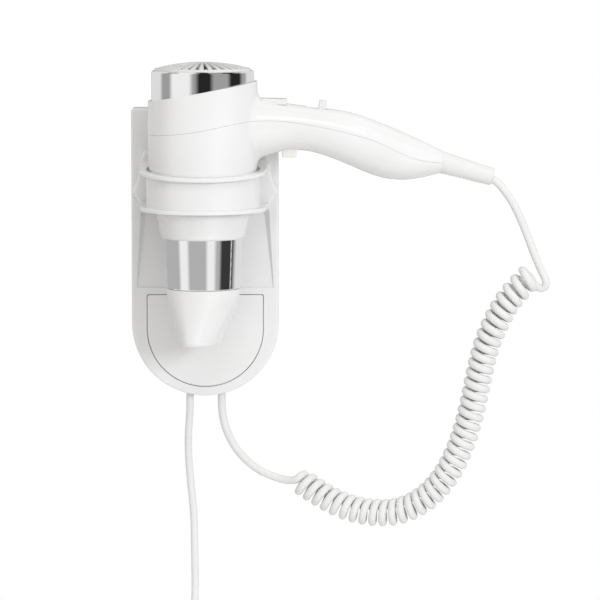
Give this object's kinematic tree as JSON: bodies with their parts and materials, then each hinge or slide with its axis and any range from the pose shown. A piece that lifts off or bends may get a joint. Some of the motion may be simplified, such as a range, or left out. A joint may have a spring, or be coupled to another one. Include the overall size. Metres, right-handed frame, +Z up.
{
  "type": "wall-mounted hair dryer",
  "caption": "Wall-mounted hair dryer: a handset hangs nozzle-down in a ring on a white wall base, with a curly cord to the base and a mains lead.",
  "frame": {"origin": "centre of the wall base's rear face, on the wall", "axes": "+Z up, +X towards the handle's end, +Y into the wall"},
  "size_m": [0.2724, 0.1058, 0.5258],
  "materials": {
    "white_abs": "glossy moulded white",
    "warm_white": "glossy slightly warm white",
    "chrome": "polished plate",
    "cord_pvc": "satin white flexible",
    "back_abs": "fine-grained moulded",
    "black_plastic": "moulded black",
    "steel": "zinc-plated",
    "brass": "plain",
    "mica": "layered mica",
    "heat_wire": "oxidised resistance wire",
    "safety": "ceramic",
    "board": "laminate",
    "mesh": "fine woven mesh"
  },
  "bodies": {
    "wall_unit": {"front_housing": "white_abs", "back_plate": "back_abs", "access_cover": "white_abs", "holder_ring": "white_abs", "terminal_block": "black_plastic", "terminal_screws": "brass", "cord_clamp_bar": "back_abs", "mains_bushing": "cord_pvc", "curly_bushing": "cord_pvc", "mains_lead_inner": "cord_pvc", "curly_lead_inner": "cord_pvc", "mains_coil": "cord_pvc", "cable_tie": "back_abs", "plug_body": "warm_white", "plug_pins": "brass", "mains_lead": "cord_pvc", "mains_tail": "cord_pvc", "curly_lead_lower": "cord_pvc", "curly_coil": "cord_pvc", "housing_screws": "steel", "ring_screws": "steel", "clamp_screws": "steel"},
    "handset": {"upper_casing": "white_abs", "lower_casing": "white_abs", "intake_band": "chrome", "intake_grille": "white_abs", "dust_filter": "mesh", "fan_duct": "black_plastic", "motor_can": "steel", "motor_end_cap": "board", "motor_board": "board", "heater_sleeve": "mica", "heater_boards": "mica", "heater_coils": "heat_wire", "thermostat": "safety", "thermal_fuse": "safety", "outlet_sleeve": "chrome", "outlet_grille": "black_plastic", "switch_body": "black_plastic", "button_spring": "steel", "microswitch": "black_plastic", "handle_screws": "steel", "cord_boot": "cord_pvc", "handset_lead_inner": "cord_pvc", "handle_cord_clamp": "back_abs", "handle_clamp_screws": "steel", "curly_lead_upper": "cord_pvc"},
    "rotor": {"motor_shaft": "steel", "impeller": "black_plastic"},
    "nozzle_body": {"nozzle": "white_abs"},
    "switch_body_moving": {"switch_knob": "white_abs"},
    "button_body": {"press_button": "warm_white"}
  },
  "joints": [
    {"name": "handset_lift", "type": "slide", "parent": "wall_unit", "child": "handset", "axis": [0, 0, 1], "range_m": [0, 0.13], "deforming": ["curly_coil"]},
    {"name": "fan_spin", "type": "hinge", "parent": "handset", "child": "rotor", "pos_m": [0, -0.064, 0.1], "axis": [0, 0, 1], "continuous": true},
    {"name": "nozzle_turn", "type": "hinge", "parent": "handset", "child": "nozzle_body", "pos_m": [0, -0.064, -0.03], "axis": [0, 0, 1], "continuous": true},
    {"name": "switch_slide", "type": "slide", "parent": "handset", "child": "switch_body_moving", "axis": [-0.9857, 0, 0.1685], "range_m": [0, 0.007]},
    {"name": "button_press", "type": "slide", "parent": "handset", "child": "button_body", "axis": [0, 0, 1], "range_m": [0, 0.0025], "stiffness_N_per_m": 300, "springref_m": -0.002, "deforming": ["button_spring"]}
  ]
}
